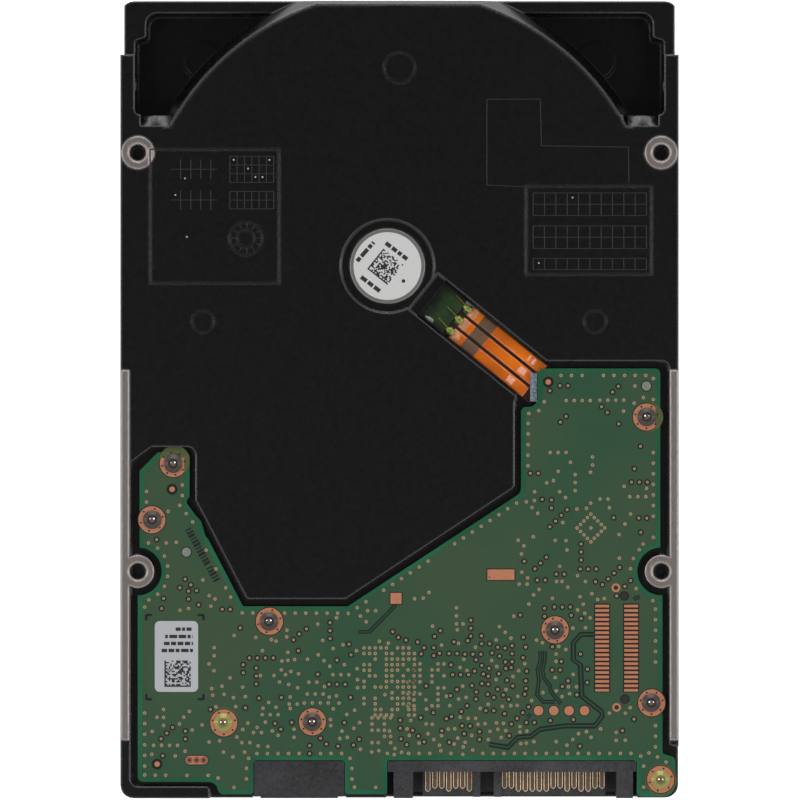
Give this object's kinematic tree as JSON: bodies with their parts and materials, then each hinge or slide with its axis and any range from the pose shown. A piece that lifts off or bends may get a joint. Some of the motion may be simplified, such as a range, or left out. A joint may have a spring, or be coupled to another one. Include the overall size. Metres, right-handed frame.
{
  "type": "hard disk drive",
  "caption": "Sealed 3.5-inch hard disk drive lying on its cover: black cast base, circuit board with edge plug, platters and a swinging head arm inside.",
  "frame": {"origin": "centre of the outer cover, at its lowest face", "axes": "+Z points out of the circuit board side, +Y from the plugs to the far end, +X to the right"},
  "size_m": [0.1016, 0.1452, 0.0261],
  "materials": {
    "casting_black": "satin black electrocoat",
    "cover_aluminium": "satin",
    "label_paper": "smooth",
    "gasket_rubber": "matt",
    "steel": "satin",
    "screw_steel": "dark nickel",
    "brass": "bright",
    "board_green": "solder mask over copper",
    "chip_black": "moulded",
    "component_grey": "matt",
    "plug_plastic": "glass-filled, speckled",
    "contact_gold": "gold-plated",
    "copper": "enamelled copper",
    "polyimide": "glossy film over copper",
    "sealant": "translucent",
    "foam": "open-cell",
    "disk_mirror": "polished",
    "arm_aluminium": "machined",
    "magnet_nickel": "nickel-plated",
    "moulded_ivory": "moulded",
    "stator_iron": "laminated",
    "filter_fabric": "non-woven"
  },
  "bodies": {
    "casing": {"base_casting": "casting_black", "outer_cover": "cover_aluminium", "cover_label": "label_paper", "inner_cover": "cover_aluminium", "cover_gasket": "gasket_rubber", "cover_screws": "steel", "circuit_board": "board_green", "board_screws": "screw_steel", "board_screws_brass": "brass", "board_label": "label_paper", "board_insulator": "foam", "controller_chip": "chip_black", "memory_chip": "chip_black", "motor_driver_chip": "chip_black", "board_components": "component_grey", "plug_housing": "plug_plastic", "plug_signal_contacts": "contact_gold", "plug_power_contacts": "contact_gold", "service_port_block": "plug_plastic", "motor_bracket": "steel", "motor_label": "label_paper", "motor_flex": "polyimide", "motor_flex_solder": "sealant", "flex_contact_pad": "foam", "spindle_shaft": "steel", "stator_core": "stator_iron", "stator_windings": "copper", "feedthrough_connector": "chip_black", "flex_bracket": "steel", "flex_loop": "polyimide", "upper_yoke": "magnet_nickel", "lower_yoke": "magnet_nickel", "coil_magnets": "magnet_nickel", "pivot_shaft": "steel", "load_ramp": "moulded_ivory", "crash_stops": "gasket_rubber", "air_filter": "filter_fabric", "desiccant_pack": "filter_fabric"},
    "spindle": {"spindle_hub": "arm_aluminium", "rotor_magnet": "stator_iron", "platter_spacers": "steel", "disk_clamp": "steel", "clamp_screws": "screw_steel", "platter_1": "disk_mirror", "platter_2": "disk_mirror", "platter_3": "disk_mirror", "platter_4": "disk_mirror", "platter_5": "disk_mirror", "platter_6": "disk_mirror", "platter_7": "disk_mirror", "platter_8": "disk_mirror", "platter_9": "disk_mirror"},
    "actuator": {"arm_block": "arm_aluminium", "pivot_cartridge": "steel", "voice_coil": "copper", "coil_frame": "chip_black", "suspensions": "steel", "head_sliders": "component_grey", "preamp_board": "board_green"},
    "latch": {"latch_lever": "moulded_ivory"}
  },
  "joints": [
    {"name": "spindle_spin", "type": "hinge", "parent": "casing", "child": "spindle", "pos_m": [-0.0022, 0.02425, 0.0135], "axis": [0, 0, 1], "continuous": true},
    {"name": "actuator_swing", "type": "hinge", "parent": "casing", "child": "actuator", "pos_m": [0.014, -0.0321, 0.0133], "axis": [0, 0, 1], "range_deg": [0, 33], "deforming": ["flex_loop"]},
    {"name": "latch_swing", "type": "hinge", "parent": "casing", "child": "latch", "pos_m": [-0.027, -0.0551, 0.0103], "axis": [0, 0, 1], "range_deg": [0, 8]}
  ]
}
